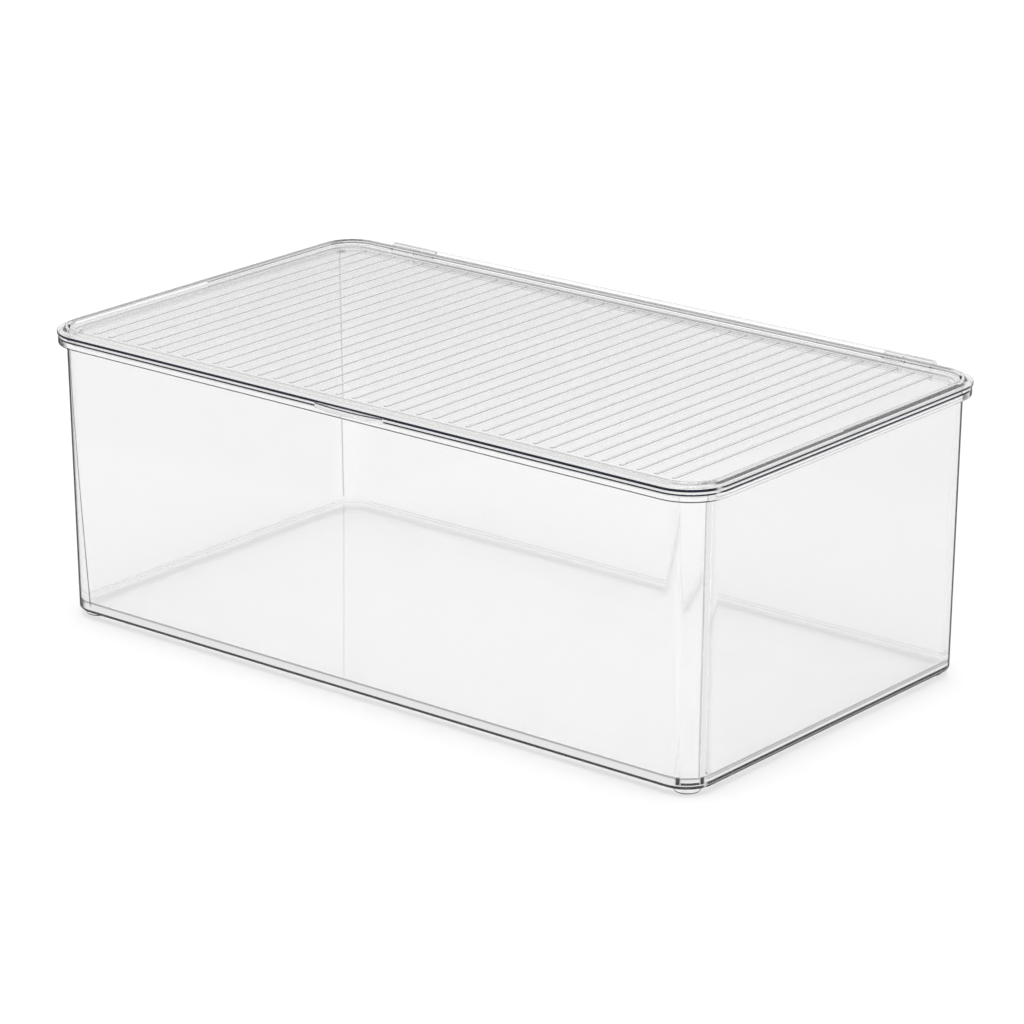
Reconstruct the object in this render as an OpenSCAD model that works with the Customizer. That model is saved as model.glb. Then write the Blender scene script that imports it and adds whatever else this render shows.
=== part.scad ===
// A clear storage box with a ribbed lid on a two pin hinge.
// Millimetres, Z up. The front faces -Y and the hinge runs along the back edge.
// The origin is on the surface that the feet stand on, under the middle of the box.

/* [Lid] */
// Length of the lid, left to right
lid_length = 340; // [260:5:420]
// Depth of the lid, front to back
lid_depth = 192; // [140:2:260]
// Radius of the lid's corners, seen from above
lid_corner = 18.5; // [17:0.5:26]
// Thickness of the lid's edge
lid_edge = 1.3; // [1.2:0.1:3]
// Distance from the lid's edge to the raised lip
lip_inset = 3.2; // [3.1:0.1:3.8]
// Width of the raised lip
lip_width = 1.8; // [1.2:0.1:2.4]
// Height of the raised lip above the lid's edge
lip_height = 1.6; // [0.8:0.1:4]
// Depth of the ribbed panel below the top of the lid's edge
panel_drop = 0.6; // [0.3:0.1:0.9]
// Thickness of the ribbed panel
panel_thickness = 2; // [1.4:0.1:3]
// Thickness of the skirt that drops inside the bin
skirt_wall = 2; // [1.2:0.1:3]
// Depth of the skirt below the lid's edge
skirt_depth = 3.8; // [2:0.1:8]
// Gap between the skirt and the inside of the bin
skirt_gap = 0.6; // [0.4:0.1:1.2]

/* [Ribs] */
// Distance between the ribs on the lid
rib_pitch = 8.28; // [5:0.01:16]
// Width of a rib
rib_width = 1.6; // [1:0.1:3]
// Height of a rib above the panel
rib_height = 0.2; // [0.1:0.05:0.6]
// Least distance from the lid's side edges to the outermost ribs
rib_side_margin = 20.5; // [14:0.5:40]
// Distance from the lid's front and back edges to the ends of the ribs
rib_end_margin = 11.8; // [9:0.1:40]

/* [Bin] */
// Height of the bin from its underside to the top of its rim
bin_height = 119.1; // [70:0.1:180]
// Distance from the lid's edge to the outside of the wall, at the rim
wall_inset = 3.9; // [3.6:0.1:4.6]
// How much further in the wall stands at the underside than at the rim
wall_lean = 1.86; // [0:0.01:3]
// Thickness of the walls
wall_thickness = 2.4; // [1.6:0.1:3.2]
// Thickness of the floor
floor_thickness = 3.3; // [1.6:0.1:5]
// Height of the rim around the top of the walls
rim_height = 3.4; // [2.4:0.1:6]
// Distance from the lid's edge to the outside of the rim
rim_inset = 0.4; // [0.4:0.1:1.2]
// Gap between the rim and the closed lid
lid_gap = 0.8; // [0.3:0.1:1.2]

/* [Hinge] */
// Radius of the lid's barrel and of the knuckles on the bin
barrel_radius = 2.5; // [2.2:0.1:2.8]
// Gap between the barrel and the groove in the rim
barrel_gap = 0.4; // [0.3:0.1:0.6]
// Length of each knuckle
knuckle_length = 13.7; // [8:0.1:30]
// Distance from the lid's side edges to the outer face of the knuckles
knuckle_margin = 27.5; // [22:0.5:60]
// Gap between a knuckle and what turns beside it
knuckle_gap = 0.3; // [0.2:0.1:1]
// Diameter of the hinge pins
pin_diameter = 2.4; // [1.6:0.1:2.6]
// Radial play of the pins in the barrel
pin_play = 0.05; // [0.02:0.01:0.1]
// Length of pin inside the barrel
pin_reach = 9.5; // [5:0.5:30]
// Depth of the barrel's bores past the ends of the pins
bore_spare = 0.5; // [0.3:0.1:2]
// Depth of the pins' outer ends below the outer face of the knuckles
pin_recess = 0.3; // [0.1:0.1:1]

/* [Thumb tab] */
// Width of the tab at the middle of the front edge
tab_width = 35; // [16:1:80]
// Reach of the tab in front of the lid's edge, at its middle
tab_reach = 1.9; // [1.2:0.1:4]
// Reach of the tab in front of the lid's edge, at its ends
tab_end_reach = 0.5; // [0.3:0.1:1]
// Depth of the tab below the lid's edge
tab_drop = 2; // [0.8:0.1:6]
// Height of the tab's face above the lid's underside
tab_rise = 0.4; // [0.3:0.1:1.2]
// Gap between the tab and the rim behind it
tab_gap = 0.3; // [0.2:0.05:0.35]

/* [Feet] */
// Diameter of the feet
foot_diameter = 11; // [6:0.5:16]
// Height of the feet
foot_height = 2.8; // [1.5:0.1:10]
// Chamfer around the underside of the feet
foot_chamfer = 0.6; // [0.2:0.1:1]
// Distance from the edges of the bin's underside to the centre of each foot
foot_inset = 9.4; // [9:0.1:30]

/* [Hidden] */
$fn = 96;
acrylic = [0.93, 0.95, 0.97, 0.4];
pad = [0.88, 0.9, 0.92, 0.6];
cut = 1;

corner_x = lid_length / 2 - lid_corner;
corner_y = lid_depth / 2 - lid_corner;

lid_under = bin_height + lid_gap;
lid_top = lid_under + lid_edge;
panel_top = lid_top - panel_drop;
rim_under = bin_height - rim_height;
skirt_inset = wall_inset + wall_thickness + skirt_gap;

hinge_y = lid_depth / 2;
hinge_z = lid_under + lid_edge / 2;
knuckle_outer = lid_length / 2 - knuckle_margin;
knuckle_inner = knuckle_outer - knuckle_length;
barrel_half = knuckle_inner - knuckle_gap;
groove_radius = barrel_radius + barrel_gap;
pin_inner = barrel_half - pin_reach;
pin_outer = knuckle_outer - pin_recess;

rib_count = 1 + floor((lid_length - 2 * rib_side_margin) / rib_pitch);
rib_radius = (pow(rib_width / 2, 2) + pow(rib_height, 2)) / (2 * rib_height);
rib_half = lid_depth / 2 - rib_end_margin - rib_width / 2;

tab_front = lid_depth / 2 + tab_reach;
tab_bulge = tab_reach - tab_end_reach;
tab_radius = (pow(tab_width / 2, 2) + pow(tab_bulge, 2)) / (2 * tab_bulge);
tab_back = lid_depth / 2 - rim_inset + tab_gap;

foot_x = lid_length / 2 - wall_inset - wall_lean - foot_inset;
foot_y = lid_depth / 2 - wall_inset - wall_lean - foot_inset;

// The box's middle lies half way from the tab's front to the barrel's back
middle_y = (hinge_y + barrel_radius - tab_front) / 2;

function wall_at(z) = wall_inset + wall_lean * (1 - z / bin_height);

module placed() translate([0, -middle_y, foot_height]) children();

// The lid's outline, drawn in from its edge by an even inset
module outline(inset) {
    radius = lid_corner - inset;
    square([2 * corner_x, 2 * (corner_y + radius)], center = true);
    square([2 * (corner_x + radius), 2 * corner_y], center = true);
    for (x = [-corner_x, corner_x], y = [-corner_y, corner_y])
        translate([x, y]) circle(radius);
}

module plate(inset, low, high)
    translate([0, 0, low]) linear_extrude(high - low) outline(inset);

module side_slab(half_low, half_high, low, high, length)
    linear_extrude(length, center = true)
        polygon([[-half_low, low], [half_low, low], [half_high, high], [-half_high, high]]);

// A block with rounded corners whose four sides lean by the same amount
module leaning_block(inset_low, inset_high, low, high) {
    x = lid_length / 2;
    y = lid_depth / 2;
    rotate([90, 0, 0]) side_slab(x - inset_low, x - inset_high, low, high, 2 * corner_y);
    rotate([90, 0, 90]) side_slab(y - inset_low, y - inset_high, low, high, 2 * corner_x);
    for (cx = [-corner_x, corner_x], cy = [-corner_y, corner_y])
        translate([cx, cy, low])
            cylinder(h = high - low, r1 = lid_corner - inset_low, r2 = lid_corner - inset_high);
}

// A round bar along X on the hinge's axis
module hinge_bar(radius, from, to)
    translate([from, hinge_y, hinge_z]) rotate([0, 90, 0]) cylinder(h = to - from, r = radius);

module knuckle() {
    hinge_bar(barrel_radius, knuckle_inner, knuckle_outer);
    translate([knuckle_inner, hinge_y - barrel_radius, rim_under])
        cube([knuckle_length, 2 * barrel_radius, hinge_z - rim_under]);
}

module bin() color(acrylic) placed() difference() {
    union() {
        difference() {
            union() {
                leaning_block(wall_at(0), wall_at(bin_height), 0, bin_height);
                plate(rim_inset, rim_under, bin_height);
            }
            hinge_bar(groove_radius, -knuckle_outer, knuckle_outer);
        }
        knuckle();
        mirror([1, 0, 0]) knuckle();
    }
    leaning_block(wall_at(floor_thickness) + wall_thickness, wall_at(bin_height + cut) + wall_thickness,
        floor_thickness, bin_height + cut);
    hinge_bar(pin_diameter / 2, -knuckle_outer - cut, knuckle_outer + cut);
}

module rib()
    intersection() {
        translate([0, 0, panel_top + rib_height - rib_radius]) union() {
            rotate([90, 0, 0]) cylinder(h = 2 * rib_half, r = rib_radius, center = true);
            for (y = [-rib_half, rib_half]) translate([0, y, 0]) sphere(rib_radius);
        }
        translate([-rib_width, -lid_depth / 2, panel_top - panel_thickness / 2])
            cube([2 * rib_width, lid_depth, panel_thickness]);
    }

module tab()
    translate([0, 0, lid_under - tab_drop]) linear_extrude(tab_drop + tab_rise) intersection() {
        translate([0, tab_radius - tab_front]) circle(tab_radius, $fn = 360);
        translate([-tab_width / 2, -tab_front - cut]) square([tab_width, tab_front + cut - tab_back]);
    }

module lid() color(acrylic) placed() difference() {
    union() {
        difference() {
            plate(0, lid_under, lid_top);
            plate(lip_inset + lip_width, panel_top, lid_top + cut);
        }
        difference() {
            plate(lip_inset, lid_under, lid_top + lip_height);
            plate(lip_inset + lip_width, lid_under - cut, lid_top + lip_height + cut);
        }
        plate(skirt_inset, panel_top - panel_thickness, panel_top);
        difference() {
            plate(skirt_inset, lid_under - skirt_depth, panel_top);
            plate(skirt_inset + skirt_wall, lid_under - skirt_depth - cut, panel_top - panel_thickness);
        }
        for (i = [0 : rib_count - 1])
            translate([(i - (rib_count - 1) / 2) * rib_pitch, 0, 0]) rib();
        hinge_bar(barrel_radius, -barrel_half, barrel_half);
        tab();
    }
    for (side = [0, 1]) mirror([side, 0, 0]) {
        hinge_bar(pin_diameter / 2 + pin_play, pin_inner - bore_spare, barrel_half + cut);
        translate([barrel_half, hinge_y - groove_radius, lid_under - cut])
            cube([knuckle_length + 2 * knuckle_gap, groove_radius + cut, lid_edge + 2 * cut]);
    }
}

module hinge_pin() placed() hinge_bar(pin_diameter / 2, pin_inner, pin_outer);
module hinge_pin_left() color(acrylic) mirror([1, 0, 0]) hinge_pin();
module hinge_pin_right() color(acrylic) hinge_pin();

module foot(side_x, side_y)
    translate([side_x * foot_x, side_y * foot_y - middle_y, 0]) {
        cylinder(h = foot_chamfer, r1 = foot_diameter / 2 - foot_chamfer, r2 = foot_diameter / 2);
        translate([0, 0, foot_chamfer]) cylinder(h = foot_height - foot_chamfer, d = foot_diameter);
    }
module foot_front_left() color(pad) foot(-1, -1);
module foot_front_right() color(pad) foot(1, -1);
module foot_back_left() color(pad) foot(-1, 1);
module foot_back_right() color(pad) foot(1, 1);

bin();
lid();
hinge_pin_left();
hinge_pin_right();
foot_front_left();
foot_front_right();
foot_back_left();
foot_back_right();
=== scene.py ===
import math

import bmesh
import bpy
from mathutils import Matrix, Vector


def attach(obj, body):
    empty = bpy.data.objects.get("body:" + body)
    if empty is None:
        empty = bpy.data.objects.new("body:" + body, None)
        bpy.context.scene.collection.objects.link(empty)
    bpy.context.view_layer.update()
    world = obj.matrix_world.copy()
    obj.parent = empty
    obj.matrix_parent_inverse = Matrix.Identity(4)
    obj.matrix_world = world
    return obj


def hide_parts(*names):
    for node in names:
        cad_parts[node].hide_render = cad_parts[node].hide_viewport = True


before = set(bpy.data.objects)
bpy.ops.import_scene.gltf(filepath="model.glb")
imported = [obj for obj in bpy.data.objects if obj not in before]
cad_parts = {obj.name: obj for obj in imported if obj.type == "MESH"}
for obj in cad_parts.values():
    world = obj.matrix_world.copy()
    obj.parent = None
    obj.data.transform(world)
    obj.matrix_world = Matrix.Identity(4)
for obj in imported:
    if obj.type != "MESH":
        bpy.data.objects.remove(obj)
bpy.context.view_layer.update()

MM = 0.001

# Sizes of the lid, in millimetres
LENGTH = 340
DEPTH = 192
CORNER = 18.5
EDGE = 1.3
LIP_INSET = 3.2
EDGE_ROUND = 0.4
LIP_WIDTH = 1.8
LIP_HEIGHT = 1.6
PANEL_DROP = 0.6
PANEL_THICKNESS = 2
SKIRT_WALL = 2
SKIRT_DEPTH = 3.8
SKIRT_GAP = 0.6

# Sizes of the ribs
RIB_PITCH = 8.28
RIB_COUNT = 37
RIB_WIDTH = 1.6
RIB_HEIGHT = 0.2
RIB_SHOWN = 0.2
RIB_ROOT = 0.8
RIB_STEPS = 40
RIB_END_MARGIN = 11.8

# Sizes of the bin
BIN_HEIGHT = 119.1
WALL_INSET = 3.9
WALL_LEAN = 1.86
WALL = 2.4
FLOOR = 3.3
RIM_HEIGHT = 3.4
RIM_INSET = 0.4
BOTTOM_ROUND = 1.5
RIM_ROUND = 0.7
FACET_TOP = 6.4
FACET_LOW = 4.6
CREASE_ROUND = 1.5
LID_GAP = 0.8

# Sizes of the hinge
BARREL_RADIUS = 2.5
BARREL_GAP = 0.4
KNUCKLE_LENGTH = 13.7
KNUCKLE_MARGIN = 27.5
KNUCKLE_GAP = 0.3
PIN_DIAMETER = 2.4
PIN_PLAY = 0.05
PIN_REACH = 9.5
BORE_SPARE = 0.5
PIN_RECESS = 0.3

# Sizes of the thumb tab
TAB_WIDTH = 35
TAB_REACH = 1.9
TAB_END_REACH = 0.5
TAB_DROP = 2
TAB_RISE = 0.4
TAB_GAP = 0.3

# Sizes of the feet
FOOT_DIAMETER = 11
FOOT_HEIGHT = 2.8
FOOT_INSET = 9.4
FOOT_CLEAR = 0.03

# Places worked out from the sizes
MIDDLE_Y = (BARREL_RADIUS - TAB_REACH) / 2
LID_UNDER = FOOT_HEIGHT + BIN_HEIGHT + LID_GAP
LID_TOP = LID_UNDER + EDGE
PANEL_TOP = LID_TOP - PANEL_DROP
RIM_TOP = FOOT_HEIGHT + BIN_HEIGHT
RIM_UNDER = RIM_TOP - RIM_HEIGHT
HINGE_Y = DEPTH / 2
HINGE_Z = LID_UNDER + EDGE / 2
KNUCKLE_OUTER = LENGTH / 2 - KNUCKLE_MARGIN
KNUCKLE_INNER = KNUCKLE_OUTER - KNUCKLE_LENGTH
BARREL_HALF = KNUCKLE_INNER - KNUCKLE_GAP
GROOVE_RADIUS = BARREL_RADIUS + BARREL_GAP
SKIRT_INSET = WALL_INSET + WALL + SKIRT_GAP

CORNER_STEPS = 25
ROUND_STEPS = 6

ABSORB_COLOUR = (0.1, 0.11, 0.13, 1)
LID_DENSITY = 0.5
BIN_DENSITY = 0.5
BOUNCES = 32
# Near-black colour of the painted shade mixed into the plastic and the pads
SHADE_LINE_COLOUR = (0.0001, 0.00015, 0.001, 1)
LID_COLOUR = (0.98, 0.98, 0.98, 1)
BIN_COLOUR = (0.98, 0.98, 0.98, 1)
# Painted shade on rounded edges seen at a grazing angle: where it starts and where it is full
FACING_FROM = 0.66
FACING_TO = 0.72
SIDE_FROM = 0.93
SIDE_TO = 0.985
EDGE_ZONE = 11
PAD_IOR = 1.2
SHADE_LOW = 4
SHADE_HIGH = 60
SHADE_CLEAR = 0.99
SHADE_EDGE = 0.6
# Darkness of the painted shade along the inner upright creases
CREASE_DARKNESS = 0.6
# Width and darkness of the painted shade on one side and the front end of each rib
RIB_LINE = 0.4
RIB_DARKNESS = 0.7
# Painted shade on rounded upright surfaces seen at a grazing angle: where it starts and where it is full
GRAZING_SHADE_FROM = 0.7
GRAZING_SHADE_TO = 0.8
# Painted dark line up the outside of the front left post: its place at the bottom and the top, and its darkness
POST_LOW = 150.3
POST_HIGH = 158.2
POST_DARKNESS = 0.9
# Painted shade in broken dark patches at two corners: patch size, darkness, threshold and heights
MOTTLE_SIZE = 2.2
MOTTLE_DARKNESS = 0.97
MOTTLE_FROM = 0.3
BIN_MOTTLE = [(3.2, 8.6), (118.4, 122.0)]
LID_MOTTLE = [(122.6, 125.7)]
# Share of that grazing painted shade on the left and on the right side
BIN_GRAZING_SHADE = (0.45, 0.0)
LID_GRAZING_SHADE = (0.6, 0.6)
RIPPLE_STRENGTH = 0.05
MARK_ROUGHNESS = 0.02
# Painted dark outline on the top of the lid's lip: width and darkness along the sides and at the corner
OUTLINE_WIDTH = 5.3
OUTLINE_SIDES = 0.68
OUTLINE_CORNER = 0.97
# Painted dark marks outside the corners at floor level: lowest height and darkness
CORNER_SHADE_LOW = 4.9
CORNER_SHADE_DARKNESS = 0.995
# Painted light: after this many reflections inside the plastic a ray ends on a light-grey glow of this level
END_DEPTH = 5
END_GLOW = 0.85

# Painted shade: dark lines painted into the plastic's colour along the edges, where refraction shows dark; where,
# lowest and highest height, softness and darkness
BIN_LINES = [
    ("Front", 121.2, 121.7, 0.08, 1.0),
    ("Front", 118.4, 119.0, 0.08, 1.0),
    ("Front", 2.8, 4.4, 0.15, 0.995),
    ("Side", 121.3, 121.8, 0.08, 1.0),
    ("Side", 119.95, 120.25, 0.1, 0.6),
    ("Side", 2.8, 4.1, 0.1, 1.0),
    ("Side", 4.35, 5.45, 0.1, 0.995),
    ("Side", 6.8, 7.1, 0.1, 0.8),
]
LID_LINES = [
    ("Front", 122.7, 123.85, 0.05, 1.0),
    ("Side", 123.25, 123.85, 0.08, 1.0),
    ("Side", 124.02, 124.85, 0.1, 0.93),
    ("Inside", 124.1, 124.5, 0.1, 0.9),
]
REFLECTED = 0.4
SEEN_SHARE = 0.45
SEEN_STRENGTH = 1.03
SKY_LOW = 0.29
SKY_MID = 0.47
SKY_HIGH = 0.62
SKY_THROUGH = 1.0
SKY_TOP = 4.0


def new_object(name, mesh):
    thing = bpy.data.objects.new(name, mesh)
    bpy.context.scene.collection.objects.link(thing)
    return thing


def mesh_object(name, points, faces):
    """A mesh from points in millimetres of the part's own frame, faces pointing out."""
    mesh = bpy.data.meshes.new(name)
    mesh.from_pydata([(x * MM, (y - MIDDLE_Y) * MM, z * MM) for x, y, z in points], [], faces)
    work = bmesh.new()
    work.from_mesh(mesh)
    bmesh.ops.recalc_face_normals(work, faces=work.faces)
    work.to_mesh(mesh)
    work.free()
    return new_object(name, mesh)


def rounded(points, steps=ROUND_STEPS):
    """The line through (inset, height, radius) points, with each corner rounded to its radius."""
    line = []
    for i, (x, z, radius) in enumerate(points):
        here = Vector((x, z))
        if radius == 0 or i in (0, len(points) - 1):
            line.append(here)
            continue
        before = (Vector(points[i - 1][:2]) - here).normalized()
        after = (Vector(points[i + 1][:2]) - here).normalized()
        half = before.angle(after) / 2
        reach = radius / math.tan(half)
        centre = here + (before + after).normalized() * (radius / math.sin(half))
        start = here + before * reach - centre
        end = here + after * reach - centre
        first = math.atan2(start.y, start.x)
        turn = (math.atan2(end.y, end.x) - first + math.pi) % (2 * math.pi) - math.pi
        for k in range(steps + 1):
            angle = first + turn * k / steps
            line.append(centre + radius * Vector((math.cos(angle), math.sin(angle))))
    return line


def corner_points(inset, height, facet):
    """The first corner's points at an inset, as an even arc or as a flat facet with two rounded creases."""
    if not facet:
        radius = CORNER - inset
        angles = [math.pi / 2 * k / CORNER_STEPS for k in range(CORNER_STEPS + 1)]
        return [(LENGTH / 2 - CORNER + radius * math.cos(a), DEPTH / 2 - CORNER + radius * math.sin(a)) for a in angles]
    x = LENGTH / 2 - inset
    y = DEPTH / 2 - inset
    leg = facet_leg(height) + CREASE_ROUND * math.tan(math.pi / 8)
    half = CORNER_STEPS // 2
    turns = [math.pi / 4 * k / half for k in range(half + 1)]
    first = [(x - CREASE_ROUND + CREASE_ROUND * math.cos(a), y - leg + CREASE_ROUND * math.sin(a)) for a in turns]
    second = [(x - leg + CREASE_ROUND * math.sin(a), y - CREASE_ROUND + CREASE_ROUND * math.cos(a))
              for a in reversed(turns)]
    return first + second


def facet_leg(z):
    return FACET_LOW + (FACET_TOP - FACET_LOW) * (z - FOOT_HEIGHT) / BIN_HEIGHT


def around_box(name, line, facets=False):
    """Sweeps a line of (inset, height) around the box's rounded outline and caps both ends flat."""
    points = []
    for k, (inset, z) in enumerate(line):
        corner = corner_points(inset, z, facets and k >= facets)
        other = [(-x, y) for x, y in reversed(corner)]
        points += [(x, y, z) for x, y in corner + other]
        points += [(-x, -y, z) for x, y in corner + other]
    n = 4 * (CORNER_STEPS + 1)
    faces = []
    for k in range(len(line) - 1):
        for j in range(n):
            i = (j + 1) % n
            faces.append((k * n + j, k * n + i, (k + 1) * n + i, (k + 1) * n + j))
    faces.append(tuple(range(n)))
    faces.append(tuple((len(line) - 1) * n + j for j in range(n)))
    return mesh_object(name, points, faces)


def prism(name, outline, low, high, place, edge=0.0, steps=3):
    """An outline pushed from low to high, with its end edges rounded. place turns (u, v, w) into x, y, z."""
    n = len(outline)
    points = [place(u, v, low) for u, v in outline] + [place(u, v, high) for u, v in outline]
    faces = [tuple(range(n)), tuple(range(n, 2 * n))]
    faces += [(j, (j + 1) % n, n + (j + 1) % n, n + j) for j in range(n)]
    thing = mesh_object(name, points, faces)
    if edge:
        work = bmesh.new()
        work.from_mesh(thing.data)
        ends = [e for e in work.edges if any(len(f.verts) == n for f in e.link_faces)]
        bmesh.ops.bevel(work, geom=ends, offset=edge * MM, segments=steps, profile=0.5, affect="EDGES")
        work.to_mesh(thing.data)
        work.free()
    return thing


def along_x(u, v, w):
    return (w, HINGE_Y + u, HINGE_Z + v)


def upright(u, v, w):
    return (u, v, w)


def circle(radius, steps=48, start=0.0, turn=2 * math.pi):
    """Points of a circle, or of part of one, around the middle."""
    closed = abs(turn - 2 * math.pi) < 1e-6
    count = steps if closed else steps + 1
    return [(radius * math.cos(start + turn * k / steps), radius * math.sin(start + turn * k / steps))
            for k in range(count)]


def evaluated(thing):
    """Turns the object, with its modifiers, into a plain mesh object of the same name."""
    graph = bpy.context.evaluated_depsgraph_get()
    mesh = bpy.data.meshes.new_from_object(thing.evaluated_get(graph), depsgraph=graph)
    thing.modifiers.clear()
    thing.data = mesh
    return thing


def combine(target, tools, operation):
    """Joins tools to the target, or cuts them from it, and removes them."""
    for tool in tools:
        modifier = target.modifiers.new("cut", "BOOLEAN")
        modifier.operation = operation
        modifier.solver = "EXACT"
        modifier.object = tool
        evaluated(target)
        bpy.data.objects.remove(tool)
    return target


def tidy_surface(thing):
    """Flat faces stay flat and rounded edges shade smoothly."""
    mesh = thing.data
    work = bmesh.new()
    work.from_mesh(mesh)
    bmesh.ops.remove_doubles(work, verts=work.verts, dist=1e-7)
    bmesh.ops.dissolve_limit(
        work, angle_limit=math.radians(0.05), verts=work.verts, edges=work.edges, use_dissolve_boundaries=False
    )
    bmesh.ops.recalc_face_normals(work, faces=work.faces)
    for face in work.faces:
        face.smooth = True
    for edge in work.edges:
        bend = edge.calc_face_angle(0.0)
        on_panel = all(abs(end.co.z - PANEL_TOP * MM) < 1e-6 for end in edge.verts)
        edge.smooth = bend < math.radians(2 if on_panel else 18)
    work.to_mesh(mesh)
    work.free()
    modifier = thing.modifiers.new("even normals", "WEIGHTED_NORMAL")
    modifier.mode = "FACE_AREA"
    modifier.weight = 100
    modifier.keep_sharp = True
    return evaluated(thing)


def wall_inset(z):
    return WALL_INSET + WALL_LEAN * (1 - (z - FOOT_HEIGHT) / BIN_HEIGHT)


def make_bin():
    inner_floor = FOOT_HEIGHT + FLOOR
    line = rounded([
        (30, FOOT_HEIGHT, 0),
        (wall_inset(FOOT_HEIGHT), FOOT_HEIGHT, BOTTOM_ROUND),
        (wall_inset(RIM_UNDER), RIM_UNDER, 0.6),
        (RIM_INSET, RIM_UNDER, 0.5),
        (RIM_INSET, RIM_TOP, RIM_ROUND),
        (WALL_INSET + WALL, RIM_TOP, 0.5),
        (wall_inset(inner_floor) + WALL, inner_floor, 2.0),
        (30, inner_floor, 0),
    ])
    line = line[1:-1]
    inner = next(k for k, p in enumerate(line) if k > 3 and p.x > WALL_INSET and p.y > RIM_UNDER + 1)
    return around_box("bin_shell", line, inner)


def make_knuckle(side):
    outline = circle(BARREL_RADIUS, 32, 0, math.pi)
    low = RIM_UNDER - HINGE_Z
    outline += [(-BARREL_RADIUS, low), (BARREL_RADIUS, low)]
    ends = sorted((side * KNUCKLE_INNER, side * KNUCKLE_OUTER))
    return prism("knuckle", outline, ends[0], ends[1], along_x, 0.35)


def bar(name, radius, low, high, edge=0.0):
    return prism(name, circle(radius), min(low, high), max(low, high), along_x, edge)


def make_lid():
    top = LID_TOP + LIP_HEIGHT
    inner = LIP_INSET + LIP_WIDTH
    under = LID_UNDER - SKIRT_DEPTH
    line = rounded([
        (15, PANEL_TOP, 0),
        (inner, PANEL_TOP, 0.5),
        (inner, top, 0.6),
        (LIP_INSET, top, 0.6),
        (LIP_INSET, LID_TOP, 1.0),
        (0, LID_TOP, EDGE_ROUND),
        (0, LID_UNDER, EDGE_ROUND),
        (SKIRT_INSET, LID_UNDER, 0.5),
        (SKIRT_INSET, under, 0.5),
        (SKIRT_INSET + SKIRT_WALL, under, 0.5),
        (SKIRT_INSET + SKIRT_WALL, PANEL_TOP - PANEL_THICKNESS, 0.6),
        (15, PANEL_TOP - PANEL_THICKNESS, 0),
    ])
    return around_box("lid_shell", line[1:-1])


def make_tab():
    bulge = TAB_REACH - TAB_END_REACH
    radius = ((TAB_WIDTH / 2) ** 2 + bulge ** 2) / (2 * bulge)
    half = math.asin(TAB_WIDTH / 2 / radius)
    front = -DEPTH / 2 - TAB_REACH
    back = -DEPTH / 2 + RIM_INSET - TAB_GAP
    steps = 24
    outline = [(radius * math.sin(a), front + radius - radius * math.cos(a))
               for a in [half * (2 * k / steps - 1) for k in range(steps + 1)]]
    outline += [(TAB_WIDTH / 2, back), (-TAB_WIDTH / 2, back)]
    return prism("tab", outline, LID_UNDER - TAB_DROP, LID_UNDER + TAB_RISE, upright, 0.35)


def make_foot(name, side_x, side_y):
    """A round pad with a soft edge, just clear of the bin and of the floor."""
    radius = FOOT_DIAMETER / 2
    line = rounded([
        (0, FOOT_CLEAR, 0),
        (radius - 0.6, FOOT_CLEAR, 0.5),
        (radius, 0.9, 0.6),
        (radius, FOOT_HEIGHT - FOOT_CLEAR, 0.25),
        (0, FOOT_HEIGHT - FOOT_CLEAR, 0),
    ])[1:-1]
    x = side_x * (LENGTH / 2 - wall_inset(FOOT_HEIGHT) - FOOT_INSET)
    y = side_y * (DEPTH / 2 - wall_inset(FOOT_HEIGHT) - FOOT_INSET)
    n = 48
    points = [(x + p.x * math.cos(2 * math.pi * k / n), y + p.x * math.sin(2 * math.pi * k / n), p.y)
              for p in line for k in range(n)]
    faces = [(r * n + k, r * n + (k + 1) % n, (r + 1) * n + (k + 1) % n, (r + 1) * n + k)
             for r in range(len(line) - 1) for k in range(n)]
    faces.append(tuple(range(n)))
    faces.append(tuple((len(line) - 1) * n + k for k in range(n)))
    return mesh_object(name, points, faces)


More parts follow.
